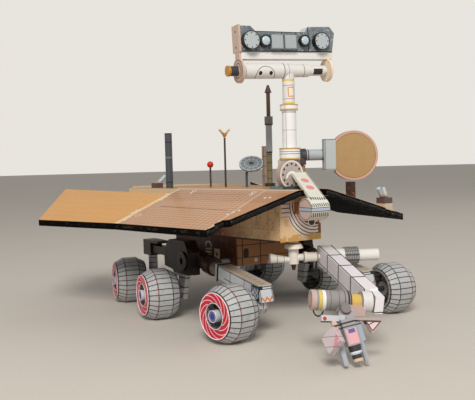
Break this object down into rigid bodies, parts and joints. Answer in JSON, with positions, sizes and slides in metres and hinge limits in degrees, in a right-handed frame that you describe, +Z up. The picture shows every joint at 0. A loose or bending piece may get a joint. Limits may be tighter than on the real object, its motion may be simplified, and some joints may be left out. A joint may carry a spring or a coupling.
{
  "type": "paper scale model of a six-wheeled planetary rover",
  "caption": "Paper model of a planetary rover with panelled deck wings, six wheels on fixed rocker frames, camera mast, dish and jointed instrument arm.",
  "frame": {"origin": "on the ground under the centre of the model's bounding box", "axes": "+Z up, the rover's front faces -Y, its port side is +X"},
  "size_m": [0.177, 0.207, 0.1311],
  "materials": {
    "arm_card": "pale print with black lines",
    "dark_card": "dark print",
    "dish_card": "tan face, pink rim",
    "foil_card": "printed gold foil pattern",
    "grey_card": "printed grey with fine black lines",
    "motor_card": "silver-grey paper",
    "panel_card": "printed solar cells, black edges",
    "wheel_card": "grey print with black lines",
    "white_card": "white paper with fine printed lines"
  },
  "bodies": {
    "chassis": {"centre_deck": "panel_card", "tail_panel": "panel_card", "wing_starboard": "panel_card", "wing_port": "panel_card", "outer_flap_starboard": "panel_card", "outer_flap_port": "panel_card", "body_box": "foil_card", "belly_box": "foil_card", "rocker_starboard": "grey_card", "rocker_port": "grey_card", "bogie_starboard": "dark_card", "bogie_port": "dark_card", "mast_foot": "white_card", "mast_tube": "white_card", "deployment_strip": "white_card", "deployment_drum": "motor_card", "rod_antenna": "grey_card", "upright_panel": "motor_card", "low_gain_antenna": "dark_card", "ball_pin": "dark_card", "vane_pin": "dark_card", "sundial": "motor_card", "tube_box_port": "motor_card", "tube_box_starboard": "motor_card", "dish_post": "dark_card", "dish_rest": "dark_card", "shoulder_mount": "white_card"},
    "tilt_tube": {"tilt_tube": "white_card"},
    "camera_bar": {"camera_bar": "grey_card"},
    "dish_gimbal": {"dish_gimbal": "grey_card"},
    "dish": {"dish": "dish_card", "dish_bracket": "grey_card"},
    "shoulder": {"shoulder_link": "white_card"},
    "upper_arm": {"upper_arm": "arm_card"},
    "forearm": {"forearm": "arm_card"},
    "wrist": {"wrist": "arm_card"},
    "turret": {"turret": "arm_card", "turret_grinder": "arm_card", "turret_side_box": "arm_card"},
    "wheel_front_starboard": {"wheel_front_starboard": "wheel_card"},
    "steering_leg_front_starboard": {"steering_leg_front_starboard": "motor_card"},
    "wheel_middle_starboard": {"wheel_middle_starboard": "wheel_card"},
    "wheel_rear_starboard": {"wheel_rear_starboard": "wheel_card"},
    "steering_leg_rear_starboard": {"steering_leg_rear_starboard": "motor_card"},
    "wheel_front_port": {"wheel_front_port": "wheel_card"},
    "steering_leg_front_port": {"steering_leg_front_port": "motor_card"},
    "wheel_middle_port": {"wheel_middle_port": "wheel_card"},
    "wheel_rear_port": {"wheel_rear_port": "wheel_card"},
    "steering_leg_rear_port": {"steering_leg_rear_port": "motor_card"}
  },
  "joints": [
    {"name": "mast_pan", "type": "hinge", "parent": "chassis", "child": "tilt_tube", "pos_m": [0, -0.02901, 0.11102], "axis": [0, 0, 1], "range_deg": [-170, 170]},
    {"name": "head_tilt", "type": "hinge", "parent": "tilt_tube", "child": "camera_bar", "pos_m": [0, -0.02901, 0.11102], "axis": [0.9917, -0.1218, 0.0401], "range_deg": [-45, 90]},
    {"name": "dish_azimuth", "type": "hinge", "parent": "chassis", "child": "dish_gimbal", "pos_m": [0.0128, -0.02051, 0.07375], "axis": [0, 0, 1], "range_deg": [-40, 65]},
    {"name": "dish_elevation", "type": "hinge", "parent": "dish_gimbal", "child": "dish", "pos_m": [0.0128, -0.02051, 0.07375], "axis": [0.9063, -0.4226, 0], "range_deg": [-90, 90]},
    {"name": "steer_front_starboard", "type": "hinge", "parent": "chassis", "child": "steering_leg_front_starboard", "pos_m": [-0.0282, -0.04551, 0.0115], "axis": [0, 0, 1], "range_deg": [-12, 12]},
    {"name": "spin_front_starboard", "type": "hinge", "parent": "steering_leg_front_starboard", "child": "wheel_front_starboard", "pos_m": [-0.0435, -0.04551, 0.0115], "axis": [-0.9877, -0.1564, 0], "continuous": true},
    {"name": "spin_middle_starboard", "type": "hinge", "parent": "chassis", "child": "wheel_middle_starboard", "pos_m": [-0.048, 0.01049, 0.0115], "axis": [-0.9925, 0.1219, 0], "continuous": true},
    {"name": "steer_rear_starboard", "type": "hinge", "parent": "chassis", "child": "steering_leg_rear_starboard", "pos_m": [-0.029, 0.05669, 0.0115], "axis": [0, 0, 1], "range_deg": [-12, 12]},
    {"name": "spin_rear_starboard", "type": "hinge", "parent": "steering_leg_rear_starboard", "child": "wheel_rear_starboard", "pos_m": [-0.0428, 0.05669, 0.0115], "axis": [-0.9744, 0.225, 0], "continuous": true},
    {"name": "steer_front_port", "type": "hinge", "parent": "chassis", "child": "steering_leg_front_port", "pos_m": [0.0282, -0.04551, 0.0115], "axis": [0, 0, 1], "range_deg": [-12, 12]},
    {"name": "spin_front_port", "type": "hinge", "parent": "steering_leg_front_port", "child": "wheel_front_port", "pos_m": [0.0435, -0.04551, 0.0115], "axis": [0.9976, -0.0698, 0], "continuous": true},
    {"name": "spin_middle_port", "type": "hinge", "parent": "chassis", "child": "wheel_middle_port", "pos_m": [0.048, 0.01049, 0.0115], "axis": [0.9986, 0.0523, 0], "continuous": true},
    {"name": "steer_rear_port", "type": "hinge", "parent": "chassis", "child": "steering_leg_rear_port", "pos_m": [0.029, 0.05669, 0.0115], "axis": [0, 0, 1], "range_deg": [-12, 12]},
    {"name": "spin_rear_port", "type": "hinge", "parent": "steering_leg_rear_port", "child": "wheel_rear_port", "pos_m": [0.0428, 0.05669, 0.0115], "axis": [0.9945, 0.1045, 0], "continuous": true},
    {"name": "shoulder_azimuth", "type": "hinge", "parent": "chassis", "child": "shoulder", "pos_m": [-0.0005, -0.03081, 0.02805], "axis": [0, 0, 1], "range_deg": [-25, 4]},
    {"name": "shoulder_elevation", "type": "hinge", "parent": "shoulder", "child": "upper_arm", "pos_m": [-0.0005, -0.03081, 0.02805], "axis": [0.9003, -0.4352, 0], "range_deg": [-30, 2]},
    {"name": "elbow_pitch", "type": "hinge", "parent": "upper_arm", "child": "forearm", "pos_m": [-0.0131, -0.09088, 0.01936], "axis": [0.8972, -0.4337, -0.0837], "range_deg": [-60, 30]},
    {"name": "wrist_pitch", "type": "hinge", "parent": "forearm", "child": "wrist", "pos_m": [-0.02426, -0.0906, 0.0177], "axis": [0.8972, -0.4337, -0.0837], "range_deg": [-25, 80]},
    {"name": "turret_turn", "type": "hinge", "parent": "wrist", "child": "turret", "pos_m": [-0.02426, -0.0906, 0.0177], "axis": [-0.3832, -0.8585, 0.3408], "range_deg": [-170, 170]}
  ]
}
